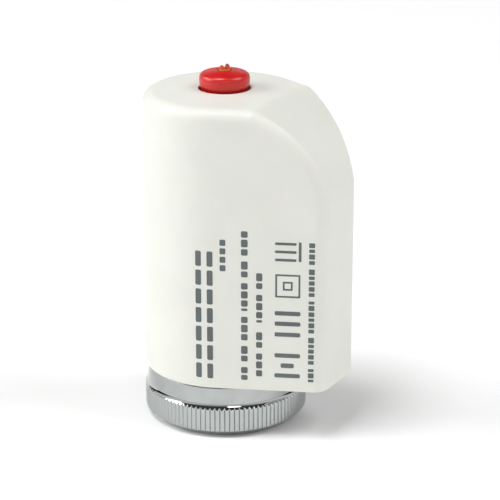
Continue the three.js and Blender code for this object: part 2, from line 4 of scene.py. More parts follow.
import bmesh
import bpy
import numpy as np
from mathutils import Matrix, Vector


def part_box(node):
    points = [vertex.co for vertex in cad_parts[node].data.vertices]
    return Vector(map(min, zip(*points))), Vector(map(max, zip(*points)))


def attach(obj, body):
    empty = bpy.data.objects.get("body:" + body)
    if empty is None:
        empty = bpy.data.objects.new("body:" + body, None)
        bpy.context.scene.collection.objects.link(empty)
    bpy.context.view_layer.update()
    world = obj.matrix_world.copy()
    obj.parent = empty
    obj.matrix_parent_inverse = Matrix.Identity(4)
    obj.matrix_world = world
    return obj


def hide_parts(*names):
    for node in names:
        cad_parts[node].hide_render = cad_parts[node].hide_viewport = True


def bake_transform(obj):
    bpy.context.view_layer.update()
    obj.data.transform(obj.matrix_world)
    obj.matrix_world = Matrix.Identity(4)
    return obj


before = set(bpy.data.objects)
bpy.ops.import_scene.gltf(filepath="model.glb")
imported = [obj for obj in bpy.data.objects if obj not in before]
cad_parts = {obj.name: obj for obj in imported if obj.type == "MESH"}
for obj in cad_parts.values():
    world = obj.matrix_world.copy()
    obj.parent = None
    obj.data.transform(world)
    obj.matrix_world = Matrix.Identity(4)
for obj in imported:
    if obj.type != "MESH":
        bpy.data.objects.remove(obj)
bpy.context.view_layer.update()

# ----------------------------------------------------------------------
# Sizes, in millimetres. Places come from the frame.

MM = 0.001


def corners(node):
    """A CAD node's lowest and highest corners, in millimetres."""
    low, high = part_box(node)
    return np.array(low) / MM, np.array(high) / MM


def levels(node):
    """A CAD node's lowest and highest level, in millimetres."""
    low, high = corners(node)
    return low[2], high[2]


COVER_LOW, COVER_HIGH = corners("cover")
NUT_HIGH = corners("union_nut")[1]
SPRING_LOW, SPRING_HIGH = corners("closing_spring")
CAP_BOTTOM, CAP_CREST = levels("indicator_cap")
STEM_BOTTOM, STEM_CREST = levels("indicator_stem")

# The round body and its nose. Seen from above, each flank leaves the body at the angle TANGENT.
TOP = COVER_HIGH[2]
BOTTOM = COVER_LOW[2]
WALL = 1.8
BODY_DRAFT = 0.15
BODY_RADIUS_LOW = -COVER_LOW[0]
BODY_RADIUS_HIGH = BODY_RADIUS_LOW - BODY_DRAFT
NOSE_REACH = COVER_HIGH[0]
NOSE_TAPER = math.radians(22.8)
TANGENT = math.pi / 2 - NOSE_TAPER

# The curved slope is an arc about (SLOPE_X, SLOPE_Z). It meets the nose's end in the kink and the
# top in the crease. The side's own round is RIM_RADIUS down to NARROW_FROM, and widens to
# NOSE_CORNER over NARROW_SPAN below that.
SLOPE_X, SLOPE_Z, SLOPE_RADIUS = 2.6, 52.1, 28.4
KINK_RADIUS = 5.0
CREASE_RADIUS = 2.5
RIM_RADIUS = 2.6
NOSE_CORNER = 4.0
NARROW_FROM, NARROW_SPAN = 73.0, 18.0

# The top stands CROWN above its nominal height at the middle and falls off outward.
CROWN, CROWN_FALL, CROWN_REACH = 0.2, 0.45, 18.0
HOLE_RADIUS, HOLE_ROUND = 5.95, 0.15
FOOT_ROUND = 0.3

# ----------------------------------------------------------------------
# Mesh helpers


def new_piece(name, points, faces, body, replaces=(), slot=None):
    """A mesh piece from points in millimetres, riding on a CAD body."""
    mesh = bpy.data.meshes.new(name)
    mesh.from_pydata((np.asarray(points, float) * MM).tolist(), [], [list(f) for f in faces])
    mesh.update()
    piece = bpy.data.objects.new(name, mesh)
    bpy.context.scene.collection.objects.link(piece)
    return finish_piece(piece, body, replaces)


def finish_piece(piece, body, replaces):
    """Faces out, smooth shading, the piece tied to its CAD body, and the CAD nodes it replaces hidden.
    """
    work = bmesh.new()
    work.from_mesh(piece.data)
    bmesh.ops.recalc_face_normals(work, faces=work.faces)
    work.to_mesh(piece.data)
    work.free()
    piece.data.polygons.foreach_set("use_smooth", [True] * len(piece.data.polygons))
    if body:
        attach(piece, body)
    if replaces:
        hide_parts(*replaces)
    return piece


def ring_faces(rows, columns, close_rows):
    """Quads between rows of points; each row closes on itself, and the last row may join the first."""
    faces = []
    for row in range(rows if close_rows else rows - 1):
        here, there = row * columns, ((row + 1) % rows) * columns
        for column in range(columns):
            after = (column + 1) % columns
            faces.append((here + column, here + after, there + after, there + column))
    return faces


def filleted(profile, steps=5):
    """A profile of (radius, height, fillet) corners with each fillet drawn as an arc."""
    points = []
    count = len(profile)
    for i, (radius, height, fillet) in enumerate(profile):
        here = np.array([radius, height], float)
        before = np.array(profile[i - 1][:2], float) - here
        after = np.array(profile[(i + 1) % count][:2], float) - here
        if fillet <= 0:
            points.append(here)
            continue
        before /= np.linalg.norm(before)
        after /= np.linalg.norm(after)
        half = math.acos(np.clip(before @ after, -1, 1)) / 2
        reach = fillet / math.tan(half)
        centre = here + (before + after) / np.linalg.norm(before + after) * fillet / math.sin(half)
        start, end = here + before * reach - centre, here + after * reach - centre
        sweep = math.acos(np.clip(start @ end / fillet**2, -1, 1))
        for k in range(steps + 1):
            t = k / steps
            blend = math.sin((1 - t) * sweep) * start + math.sin(t * sweep) * end
            points.append(centre + blend / math.sin(sweep))
    return np.array(points)


def turned(name, profile, body, centre=(0, 0), segments=96, **kind):
    """A turned piece. The profile of (radius, height, fillet) corners closes on itself, or starts
    and ends on the axis."""
    drawn = filleted(profile)
    solid_ends = drawn[0][0] == 0 and drawn[-1][0] == 0
    rings = drawn[1:-1] if solid_ends else drawn
    angles = np.linspace(0, 2 * math.pi, segments, endpoint=False)
    points = [
        (centre[0] + r * math.cos(a), centre[1] + r * math.sin(a), z) for r, z in rings for a in angles
    ]
    faces = ring_faces(len(rings), segments, close_rows=not solid_ends)
    if solid_ends:
        for end, row in ((drawn[0], 0), (drawn[-1], len(rings) - 1)):
            points.append((centre[0], centre[1], end[1]))
            tip, start = len(points) - 1, row * segments
            faces += [(tip, start + k, start + (k + 1) % segments) for k in range(segments)]
    return new_piece(name, points, faces, body, **kind)


def swept(name, path, section, body, **kind):
    """A section of (across, up) points carried along a path of points, with flat ends."""
    path = np.asarray(path, float)
    forward = np.gradient(path, axis=0)
    forward /= np.linalg.norm(forward, axis=1)[:, None]
    side = np.cross(forward[0], (0, 0, 1))
    rings = []
    for point, ahead in zip(path, forward):
        side = side - (side @ ahead) * ahead
        side /= np.linalg.norm(side)
        above = np.cross(side, ahead)
        rings.append([point + across * side + rise * above for across, rise in section])
    columns = len(section)
    points = np.array(rings).reshape(-1, 3)
    faces = ring_faces(len(rings), columns, close_rows=False)
    faces += [tuple(range(columns)), tuple(range(len(points) - columns, len(points)))]
    return new_piece(name, points, faces, body, **kind)


def circle(radius, sides):
    """A round section."""
    angles = np.linspace(0, 2 * math.pi, sides, endpoint=False)
    return [(radius * math.cos(a), radius * math.sin(a)) for a in angles]


def smooth_path(route, steps):
    """A Catmull-Rom curve through a route's points."""
    route = np.asarray(route, float)
    padded = np.vstack([2 * route[0] - route[1], route, 2 * route[-1] - route[-2]])
    path = []
    for i in range(1, len(padded) - 2):
        p0, p1, p2, p3 = padded[i - 1 : i + 3]
        for t in np.linspace(0, 1, steps, endpoint=False):
            path.append(0.5 * (2 * p1 + (p2 - p0) * t + (2 * p0 - 5 * p1 + 4 * p2 - p3) * t**2
                               + (3 * p1 - p0 - 3 * p2 + p3) * t**3))
    path.append(route[-1])
    return np.array(path)


WELD_DISTANCE = 0.001 * MM
FLAT_ANGLE, SHARP_ANGLE = math.radians(1), math.radians(30)


def softened(source, name, body, width):
    """A CAD node's own shape with every sharp edge broken by a small round."""
    piece = bpy.data.objects.new(name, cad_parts[source].data.copy())
    piece.data.materials.clear()
    bpy.context.scene.collection.objects.link(piece)
    work = bmesh.new()
    work.from_mesh(piece.data)
    bmesh.ops.remove_doubles(work, verts=work.verts, dist=WELD_DISTANCE)
    bmesh.ops.dissolve_limit(work, angle_limit=FLAT_ANGLE, verts=work.verts, edges=work.edges)
    sharp = [e for e in work.edges if len(e.link_faces) == 2 and e.calc_face_angle(0) > SHARP_ANGLE]
    bmesh.ops.bevel(work, geom=sharp, offset=width * MM, segments=2, profile=0.5, affect="EDGES",
                    clamp_overlap=True)
    work.to_mesh(piece.data)
    work.free()
    finish_piece(piece, body, [source])
    shade_by_angle(piece, 35)
    return piece


def shade_by_angle(piece, degrees):
    """Edges sharper than an angle stay sharp in the shading."""
    work = bmesh.new()
    work.from_mesh(piece.data)
    for edge in work.edges:
        edge.smooth = len(edge.link_faces) == 2 and edge.calc_face_angle(0) < math.radians(degrees)
    work.to_mesh(piece.data)
    work.free()


def even_normals(piece):
    """Large flat faces keep their own normals beside small rounds."""
    weighted = piece.modifiers.new("even_normals", "WEIGHTED_NORMAL")
    weighted.keep_sharp = True


# ----------------------------------------------------------------------
# Materials

SCATTER_DEPTH = 2 * MM


def material(name, colour, roughness, metallic=0.0, ior=1.46, subsurface=0.0):
    """A Principled material, with its plain values on the shader's own sockets."""
    made = bpy.data.materials.new(name)
    made.use_nodes = True
    shader = made.node_tree.nodes["Principled BSDF"]
    shader.inputs["Base Color"].default_value = (*colour, 1)
    shader.inputs["Roughness"].default_value = roughness
    shader.inputs["Metallic"].default_value = metallic
    shader.inputs["IOR"].default_value = ior
    shader.inputs["Subsurface Weight"].default_value = subsurface
    shader.inputs["Subsurface Scale"].default_value = SCATTER_DEPTH
    return made


def node(made, kind, **inputs):
    """A new shader node with its input values set."""
    added = made.node_tree.nodes.new(kind)
    for key, value in inputs.items():
        added.inputs[key].default_value = value
    return added


def place(made, stretch=(1, 1, 1)):
    """Object coordinates in millimetres. A factor below 1 draws a pattern out along its axis."""
    coordinates = node(made, "ShaderNodeTexCoord")
    mapping = node(made, "ShaderNodeMapping", Scale=[1 / MM * s for s in stretch])
    made.node_tree.links.new(coordinates.outputs["Object"], mapping.inputs["Vector"])
    return mapping.outputs["Vector"]


def noise(made, scale, detail, roughness=0.5, stretch=(1, 1, 1)):
    """A noise of a number of cells per millimetre."""
    added = node(made, "ShaderNodeTexNoise", Scale=scale, Detail=detail, Roughness=roughness)
    made.node_tree.links.new(place(made, stretch), added.inputs["Vector"])
    return added.outputs["Fac"]


DARK_BELOW, LIGHT_ABOVE = 0.35, 0.65


def vary_colour(made, field, dark, light):
    """Base colour that wanders between two tones."""
    ramp = node(made, "ShaderNodeValToRGB")
    for element, stop in zip(ramp.color_ramp.elements, ((DARK_BELOW, dark), (LIGHT_ABOVE, light))):
        element.position = stop[0]
        element.color = (*stop[1], 1)
    shader = made.node_tree.nodes["Principled BSDF"]
    made.node_tree.links.new(field, ramp.inputs["Fac"])
    made.node_tree.links.new(ramp.outputs["Color"], shader.inputs["Base Color"])


def vary_roughness(made, field, low, high):
    """Roughness that wanders between two values."""
    span = node(made, "ShaderNodeMapRange", **{"To Min": low, "To Max": high})
    shader = made.node_tree.nodes["Principled BSDF"]
    made.node_tree.links.new(field, span.inputs["Value"])
    made.node_tree.links.new(span.outputs["Result"], shader.inputs["Roughness"])


def bump(made, field, depth):
    """Relief of a depth in millimetres."""
    relief = node(made, "ShaderNodeBump", Strength=1.0, Distance=depth * MM)
    shader = made.node_tree.nodes["Principled BSDF"]
    made.node_tree.links.new(field, relief.inputs["Height"])
    made.node_tree.links.new(relief.outputs["Normal"], shader.inputs["Normal"])


def turn_colour(made, colour, low, high):
    """Base colour that turns to another one between two heights."""
    tree = made.node_tree
    shader = tree.nodes["Principled BSDF"]
    under = shader.inputs["Base Color"].links[0].from_socket
    parts = node(made, "ShaderNodeSeparateXYZ")
    tree.links.new(place(made), parts.inputs["Vector"])
    share = node(made, "ShaderNodeMapRange", **{"From Min": low, "From Max": high})
    tree.links.new(parts.outputs["Z"], share.inputs["Value"])
    mix = tree.nodes.new("ShaderNodeMix")
    mix.data_type = "RGBA"
    tree.links.new(share.outputs["Result"], mix.inputs["Factor"])
    tree.links.new(under, mix.inputs["A"])
    mix.inputs["B"].default_value = (*colour, 1)
    tree.links.new(mix.outputs["Result"], shader.inputs["Base Color"])


def scaled(colour, factor):
    """A colour made lighter or darker."""
    return tuple(min(1.0, c * factor) for c in colour)


# Sizes of the noises in cells per millimetre, and how uneven the moulded gloss is.
CLOUD_SCALE, GLOSS_SCALE, GRAIN_SCALE, TARNISH_AND_REFLECTION_SCALE = 0.08, 0.3, 3.0, 0.15
GRAIN_ROUGHNESS = 0.6
GLOSSIER, DULLER = 0.05, 0.07


def moulded(name, colour, roughness, depth, tone=0.03, **more):
    """Moulded plastic: a fine eroded grain, faint clouds of tone, and slightly uneven gloss."""
    made = material(name, colour, roughness, **more)
    clouds, gloss = noise(made, CLOUD_SCALE, 4), noise(made, GLOSS_SCALE, 5)
    vary_colour(made, clouds, scaled(colour, 1 - tone), scaled(colour, 1 + tone / 2))
    vary_roughness(made, gloss, roughness - GLOSSIER, roughness + DULLER)
    bump(made, noise(made, GRAIN_SCALE, 4, GRAIN_ROUGHNESS), depth)
    return made


def metal(name, colour, roughness, stretch, scale=2.0, depth=0.002, tone=0.06, spread=0.06):
    """Metal with a fine grain, which runs along the axes whose stretch factor is below 1."""
    made = material(name, colour, roughness, metallic=1.0)
    clouds = noise(made, TARNISH_AND_REFLECTION_SCALE, 4)
    gloss = noise(made, scale, 4, GRAIN_ROUGHNESS, stretch)
    vary_colour(made, clouds, scaled(colour, 1 - tone), scaled(colour, 1 + tone))
    vary_roughness(made, gloss, roughness - spread, roughness + spread)
    bump(made, noise(made, scale * 2, 3, GRAIN_ROUGHNESS, stretch), depth)
    return made


HOUSING = moulded("housing_plastic", (0.76, 0.768, 0.71), 0.42, depth=0.008, tone=0.02, subsurface=0.1)
BASE_PLASTIC = moulded("base_plastic", (0.68, 0.69, 0.65), 0.5, depth=0.01)
INK = moulded("print_ink", (0.115, 0.135, 0.135), 0.55, depth=0.003, tone=0.12)
RED = moulded(
    "cap_plastic", (0.61, 0.008, 0.006), 0.31, depth=0.003, tone=0.08, ior=1.58, subsurface=0.15
)
ORANGE = moulded("stem_plastic", (0.62, 0.10, 0.025), 0.35, depth=0.004, tone=0.1, subsurface=0.15)
DARK_PLASTIC = moulded("dark_plastic", (0.035, 0.037, 0.04), 0.45, depth=0.012, tone=0.15)
GREY_PLASTIC = moulded("yoke_plastic", (0.06, 0.063, 0.068), 0.42, depth=0.01, tone=0.15)
RUBBER = moulded("boot_rubber", (0.02, 0.02, 0.021), 0.7, depth=0.01, tone=0.15)
WAX = moulded("wax", (0.80, 0.72, 0.48), 0.5, depth=0.02, tone=0.08, subsurface=0.3)
CERAMIC = moulded("heater_ceramic", (0.33, 0.31, 0.28), 0.75, depth=0.015, tone=0.12)
LIVE = moulded("live_insulation", (0.16, 0.065, 0.025), 0.35, depth=0.003, tone=0.08)
NEUTRAL = moulded("neutral_insulation", (0.025, 0.11, 0.42), 0.35, depth=0.003, tone=0.08)

# The prongs of the stem's tip are dark at their ends.
turn_colour(ORANGE, (0.10, 0.02, 0.03), STEM_CREST - 0.55, STEM_CREST - 0.05)

# The satin collar's strong colour clouds are painted reflection: a random mottle of lighter and darker
# chrome.
SATIN_CHROME = metal("nut_satin", (0.425, 0.445, 0.44), 0.22, (1, 1, 0.08), 1.5, depth=0.0015, tone=0.09)
KNURL_CHROME = metal("nut_knurl", (0.43, 0.45, 0.445), 0.22, (0.2, 0.2, 1), tone=0.04)
POLISHED_CHROME = metal(
    "nut_polished", (0.50, 0.51, 0.505), 0.07, (1, 1, 0.1), 1.0, depth=0.0005, tone=0.02, spread=0.02
)
THREAD_CHROME = metal("nut_thread", (0.52, 0.53, 0.535), 0.3, (1, 1, 0.1), tone=0.05)
BRIGHT_STEEL = metal("bright_steel", (0.55, 0.56, 0.57), 0.25, (1, 1, 0.1))
PLATED_STEEL = metal("plated_steel", (0.58, 0.59, 0.60), 0.34, (0.1, 1, 1), 1.2, depth=0.003, tone=0.08)
SPRING_STEEL = metal("spring_steel", (0.24, 0.245, 0.26), 0.3, (0.4, 0.4, 1), 3.0, depth=0.003, tone=0.1)
BRASS = metal("cup_brass", (0.72, 0.52, 0.22), 0.25, (1, 1, 0.08))
CONTACT_BRASS = metal("contact_brass", (0.75, 0.56, 0.26), 0.28, (0.1, 1, 1))
TINNED = metal("pin_brass", (0.66, 0.60, 0.46), 0.25, (1, 1, 0.1))


def paint(piece, *finishes):
    """Gives a piece its materials."""
    piece.data.materials.clear()
    for finish in finishes:
        piece.data.materials.append(finish)
    return piece


# ----------------------------------------------------------------------
# The housing: a solid defined by distances, with rolling-ball rounds along its edges


NEARLY_PARALLEL, NEARLY_NOUGHT = 1e-6, 1e-9


def body_radius(z):
    """The round body's radius at a height, with its draft."""
    share = (z - BOTTOM) / (TOP - BOTTOM)
    return BODY_RADIUS_LOW + (BODY_RADIUS_HIGH - BODY_RADIUS_LOW) * share


def rounded(a, normal_a, b, normal_b, radius):
    """Two surfaces met by a rolling-ball round: distance and normal."""
    cosine = np.sum(normal_a * normal_b, axis=-1)
    sine_squared = np.maximum(1 - cosine**2, NEARLY_PARALLEL)
    u, v = a + radius, b + radius
    share_a = (u - v * cosine) / sine_squared
    share_b = (v - u * cosine) / sine_squared
    ball = share_a[:, None] * normal_a + share_b[:, None] * normal_b
    length = np.maximum(np.linalg.norm(ball, axis=-1), NEARLY_NOUGHT)
    on_round = (share_a > 0) & (share_b > 0) & (cosine**2 < 1 - NEARLY_PARALLEL)
    distance = np.where(on_round, length - radius, np.maximum(a, b))
    sharp = np.where((a > b)[:, None], normal_a, normal_b)
    normal = np.where(on_round[:, None], ball / length[:, None], sharp)
    return distance, normal


def side_surface(points):
    """The upright side: a round body and two flat tapered flanks, tangent to it."""
    x, y, z = points.T
    across = np.abs(y)
    sign = np.where(y < 0, -1.0, 1.0)
    sine, cosine = math.sin(NOSE_TAPER), math.cos(NOSE_TAPER)
    from_axis = np.maximum(np.hypot(x, y), NEARLY_NOUGHT)
    on_flank = x * cosine - across * sine > 0
    distance = np.where(on_flank, x * sine + across * cosine, from_axis) - body_radius(z)
    flank = np.stack([np.full_like(x, sine), sign * cosine, np.zeros_like(x)], 1)
    body = np.stack([x / from_axis, y / from_axis, np.zeros_like(x)], 1)
    return distance, np.where(on_flank[:, None], flank, body)


def top_height(x, y):
    """The top's height, very slightly crowned round the button."""
    return TOP + CROWN - CROWN_FALL * (x**2 + y**2) / CROWN_REACH**2


def nose_surface(points):
    """The nose's end, its curved slope and the top, as one rounded surface."""
    x, y, z = points.T
    nought, one = np.zeros_like(x), np.ones_like(x)
    ahead, above = np.maximum(x - SLOPE_X, 0), np.maximum(z - SLOPE_Z, 0)
    reach = np.maximum(np.hypot(ahead, above), NEARLY_NOUGHT)
    slope_normal = np.stack([ahead / reach, nought, above / reach], 1)
    end_normal = np.stack([one, nought, nought], 1)
    top_normal = np.stack([nought, nought, one], 1)
    end = rounded(x - NOSE_REACH, end_normal, reach - SLOPE_RADIUS, slope_normal, KINK_RADIUS)
    return rounded(*end, z - top_height(x, y), top_normal, CREASE_RADIUS)


def edge_radius(z):
    """The round between the side and the nose surface: small round the top, wide down the nose."""
    share = np.clip((NARROW_FROM - z) / NARROW_SPAN, 0, 1)
    share = share * share * (3 - 2 * share)
    return RIM_RADIUS + (NOSE_CORNER - RIM_RADIUS) * share


SETTLE_ROUNDS = 14


def settle(points, depth):
    """Moves points along the surface normal until they lie at a depth inside the housing's skin."""
    points = points.copy()
    for _ in range(SETTLE_ROUNDS):
        side, nose = side_surface(points), nose_surface(points)
        distance, normal = rounded(*side, *nose, edge_radius(points[:, 2]))
        points -= (distance + depth)[:, None] * normal
    return points


def nose_reach(z):
    """How far the nose reaches at a height, before rounding."""
    rise = max(0.0, z - SLOPE_Z)
    return min(NOSE_REACH, SLOPE_X + math.sqrt(max(0.0, SLOPE_RADIUS**2 - rise**2)))


# Steps along half the plan outline: half the nose's end, its corner, the flank and the body.
END_STEPS, CORNER_STEPS, FLANK_STEPS, BODY_STEPS = 9, 12, 14, 72


def outline(z, inset):
    """The housing's plan outline at a height, from the nose's middle round the body and back."""
    radius, corner_x = body_radius(z), nose_reach(z) - NOSE_CORNER
    corner_y = (radius - NOSE_CORNER) / math.cos(NOSE_TAPER) - corner_x * math.tan(NOSE_TAPER)
    corner, body = NOSE_CORNER - inset, radius - inset
    points = []
    for k in range(END_STEPS):
        points.append((corner_x + corner, corner_y * k / END_STEPS))
    for a in np.linspace(0, TANGENT, CORNER_STEPS + 1):
        points.append((corner_x + corner * math.cos(a), corner_y + corner * math.sin(a)))
    start = np.array(points[-1])
    end = np.array([body * math.cos(TANGENT), body * math.sin(TANGENT)])
    for k in range(1, FLANK_STEPS):
        points.append(tuple(start + (end - start) * k / FLANK_STEPS))
    for a in np.linspace(TANGENT, math.pi, BODY_STEPS + 1):
        points.append((body * math.cos(a), body * math.sin(a)))
    mirrored = [(x, -y) for x, y in reversed(points[1:-1])]
    return np.array(points + mirrored)


def at_height(plan, z):
    """Plan points lifted to a height."""
    return np.column_stack([plan, np.full(len(plan), z)])


def round_plan(radius, bearing):
    """Plan points on a circle, at given bearings."""
    return np.column_stack([radius * np.cos(bearing), radius * np.sin(bearing)])


# Rings of the shell. Those of the wall end below the kink, and those of the slope go on to the rim.
WALL_RINGS, SLOPE_RINGS, RIM_RINGS, TOP_RINGS, HOLE_RINGS, FOOT_RINGS = 12, 26, 12, 17, 5, 4
WALL_RINGS_END = 56.0
SLOPE_RINGS_START, SLOPE_RINGS_END = math.asin((57.2 - SLOPE_Z) / SLOPE_RADIUS), math.radians(57.5)
RING_GAP = 0.15


def skin(depth):
    """Rings up the wall, over the rim and in across the top, to the hole's edge, and the bearings
    of their points."""
    wall = list(np.linspace(BOTTOM + FOOT_ROUND, WALL_RINGS_END, WALL_RINGS))
    slope_angles = np.linspace(SLOPE_RINGS_START, SLOPE_RINGS_END, SLOPE_RINGS)
    slope = [SLOPE_Z + SLOPE_RADIUS * math.sin(a) for a in slope_angles]
    below_rim = [z for z in wall + slope if z < TOP - RIM_RADIUS - RING_GAP]
    rings = [settle(at_height(outline(z, depth), z), depth) for z in below_rim]
    for a in np.linspace(0, math.pi / 2, RIM_RINGS):
        z = TOP - RIM_RADIUS + RIM_RADIUS * math.sin(a) - depth * math.sin(a)
        inset = depth + (RIM_RADIUS - depth) * (1 - math.cos(a))
        rings.append(settle(at_height(outline(min(z, TOP), inset), z), depth))
    outer = rings[-1]
    bearing = np.arctan2(outer[:, 1], outer[:, 0])
    inner = round_plan(HOLE_RADIUS + HOLE_ROUND, bearing)
    for t in np.linspace(0, 1, TOP_RINGS + 1)[1:]:
        plan = outer[:, :2] * (1 - t) + inner * t
        rings.append(settle(at_height(plan, TOP - depth), depth))
    return rings, bearing


def hole_rim(bearing):
    """Rings down through the button's hole, round over both of its edges."""
    upper = top_height(HOLE_RADIUS + HOLE_ROUND, 0)
    angles = np.linspace(0, math.pi / 2, HOLE_RINGS + 1)[1:]
    rings = []
    for sign, level, turn in ((1, upper, angles), (-1, upper - WALL, angles[::-1])):
        for a in turn:
            radius = HOLE_RADIUS + HOLE_ROUND * (1 - math.sin(a))
            z = level - sign * HOLE_ROUND * (1 - math.cos(a))
            rings.append(at_height(round_plan(radius, bearing), z))
    return rings


def foot():
    """Rings round the lower edge, from the underside out to the wall."""
    rings = []
    for a in np.linspace(0, math.pi / 2, FOOT_RINGS, endpoint=False):
        plan = outline(BOTTOM, FOOT_ROUND * (1 - math.sin(a)))
        rings.append(at_height(plan, BOTTOM + FOOT_ROUND * (1 - math.cos(a))))
    return rings


def housing():
    """The housing's shell: lower edge, outer skin, rim of the button's hole and inner skin."""
    outer, bearing = skin(0.0)
    inner = skin(WALL)[0]
    inner_foot = at_height(outline(BOTTOM, WALL - FOOT_ROUND), BOTTOM)
    rings = foot() + outer + hole_rim(bearing) + inner[::-1] + [inner_foot]
    faces = ring_faces(len(rings), len(bearing), close_rows=True)
    piece = new_piece(
        "cover_shell", np.vstack(rings), faces, "root", replaces=["cover"], slot="housing_plastic"
    )
    even_normals(piece)
    return paint(piece, HOUSING)


# ----------------------------------------------------------------------
# The print on the near flank: plain bars and frames

# How far ink stands out and reaches in, its steps along the flank, and how much of a bar's half
# height a corner's round may take.
INK_LIFT, INK_DEPTH = 0.03, 0.12
INK_STEP, INK_END_STEPS = 0.5, 5
FULLEST_ROUND = 0.98


def flank_point(along, z, lift):
    """A point on the near side's surface: distance along its outline from where flank meets body."""
    radius = body_radius(z)
    if along < 0:
        angle = TANGENT - along / radius
        return ((radius + lift) * math.cos(angle), -(radius + lift) * math.sin(angle), z)
    sine, cosine = math.sin(NOSE_TAPER), math.cos(NOSE_TAPER)
    return ((radius + lift) * sine + along * cosine, along * sine - (radius + lift) * cosine, z)


def ink_patch(points, faces, low_along, high_along, low_z, high_z, corner):
    """A rounded rectangle of ink, added to a list of points and faces."""
    length, middle, half = high_along - low_along, (high_z + low_z) / 2, (high_z - low_z) / 2
    steps = max(2, math.ceil(length / INK_STEP)) + INK_END_STEPS
    start = len(points)
    for angle in np.linspace(0, math.pi, steps):
        along = low_along + length * (0.5 - 0.5 * np.cos(angle))
        to_end = min(along - low_along, high_along - along)
        short = corner - math.sqrt(max(0.0, corner**2 - max(0.0, corner - to_end) ** 2))
        reach = half - min(short, half * FULLEST_ROUND)
        for side, lift in ((-1, INK_LIFT), (1, INK_LIFT), (1, -INK_DEPTH), (-1, -INK_DEPTH)):
            points.append(flank_point(along, middle + side * reach, lift))
    for here in range(start, len(points) - 4, 4):
        for side in range(4):
            after = (side + 1) % 4
            faces.append((here + side, here + after, here + 4 + after, here + 4 + side))
    last = len(points) - 4
    faces.append((start, start + 1, start + 2, start + 3))
    faces.append((last + 3, last + 2, last + 1, last))


def dashes(low, high, lengths, gap):
    """Bars one after another along a line, from its upper end down, repeated to its lower end. A
    negative length is left blank."""
    spans, z, k = [], high, 0
    while z > low + gap:
        length = lengths[k % len(lengths)]
        if length > 0:
            spans.append((max(low, z - length), z))
        z -= abs(length) + gap
        k += 1
    return spans


BROAD_DASHES, SHORT_DASHES = (3.6,), (1.4,)
SMALL_DASHES = (1.5, 1.8, 1.5, -0.5, 1.9, 1.4, -0.5, 1.5, 1.7, 1.5, 0.6, -0.5)
FINE_DASHES = (1.1, 0.8, 1.2, 0.9, -0.4, 1.3, 0.8, 1.0, 1.1, 0.9, -0.4, 0.7, 1.2)

# Dashed lines: from and to along the flank, from and to in height, dashes, gap, corner.
DASHED_LINES = (
    (-4.4, -3.05, 15.0, 45.6, BROAD_DASHES, 0.9, 0.3),
    (-1.75, -0.4, 15.0, 45.6, BROAD_DASHES, 0.9, 0.3),
    (1.2, 2.5, 41.1, 48.5, SHORT_DASHES, 0.6, 0.2),
    (6.0, 7.5, 15.0, 50.7, SMALL_DASHES, 0.45, 0.3),
    (9.4, 10.8, 15.2, 41.9, SMALL_DASHES[3:], 0.45, 0.3),
    (21.2, 22.5, 15.2, 48.5, FINE_DASHES, 0.35, 0.15),
)
# Plain bars of one height: from and to along the flank, their lower ends, height, corner.
PLAIN_BARS = (
    (13.6, 18.4, (44.0, 45.9, 47.8), 0.6, 0.2),
    (18.9, 19.5, (44.0,), 4.6, 0.15),
    (13.6, 19.4, (26.0, 28.6, 31.1, 16.0, 20.9), 1.0, 0.3),
    (15.0, 18.0, (18.4,), 1.1, 0.3),
)
# Frames, one inside the other: from and to along the flank, from and to in height.
FRAMES = ((13.7, 19.3, 35.4, 40.9), (15.4, 17.6, 37.1, 39.2))
FRAME_LINE, FRAME_POST_CORNER, FRAME_RAIL_CORNER = 0.4, 0.1, 0.01


def printed_marks():
    """Grey ink marks in columns: a broad pair of dashed lines, finer lines, and plain shapes."""
    points, faces = [], []
    for low_along, high_along, low_z, high_z, lengths, gap, corner in DASHED_LINES:
        for span in dashes(low_z, high_z, lengths, gap):
            ink_patch(points, faces, low_along, high_along, *span, corner)
    for low_along, high_along, low_ends, height, corner in PLAIN_BARS:
        for z in low_ends:
            ink_patch(points, faces, low_along, high_along, z, z + height, corner)
    for low_along, high_along, low_z, high_z in FRAMES:
        for along in (low_along, high_along - FRAME_LINE):
            ink_patch(points, faces, along, along + FRAME_LINE, low_z, high_z, FRAME_POST_CORNER)
        for z in (low_z, high_z - FRAME_LINE):
            ink_patch(points, faces, low_along + FRAME_LINE, high_along - FRAME_LINE, z, z + FRAME_LINE,
                      FRAME_RAIL_CORNER)
    piece = new_piece("housing_print", points, faces, "root", slot="housing_plastic")
    shade_by_angle(piece, 30)
    return paint(piece, INK)


# ----------------------------------------------------------------------
# The union nut

NUT_RADIUS, NUT_TOP = NUT_HIGH[0], NUT_HIGH[2]

# The knurled ring. A tooth's points are given in shares of its pitch, from its crest at 0.
TEETH = 104
TOOTH_PLACES = (-0.5, -0.43, -0.32, -0.16, 0.0, 0.16, 0.32, 0.43)
TOOTH_DEPTH, TOOTH_BLUNTNESS = 0.29, 2.6
KNURL_BOTTOM, KNURL_TOP = 1.8, 6.95
KNURL_MIDDLE, KNURL_ROWS = (KNURL_BOTTOM + KNURL_TOP) / 2, 6

# Where the outside's finishes change, the level above which it has no teeth, and the row spacing.
RING_TOP, COLLAR_BOTTOM = 6.91, 8.28
PLAIN_FROM = 9.0
ROW_STEP = 0.16

# The collar outside, and the lip and the thread's relief inside.
COLLAR_RADIUS, COLLAR_RADIUS_TOP = 18.34, 18.22
LIP_RADIUS, LIP_BOTTOM = 13.2, 9.8
RELIEF_RADIUS, RELIEF_BOTTOM = 15.4, 8.2

# The thread. Its ridge is a trapezium, RIDGE_HEIGHT high before it is cut off at 1.
THREAD_PITCH = 1.5
THREAD_MINOR, THREAD_MAJOR = 14.19, 15.08
THREAD_LOW, THREAD_HIGH = 0.9, 7.6
THREAD_RUNOUT = 0.7
RIDGE_HEIGHT, RIDGE_FALL = 1.152, 2.76
ROWS_PER_PITCH = 10

SATIN, POLISHED, KNURLED, THREADED = range(4)


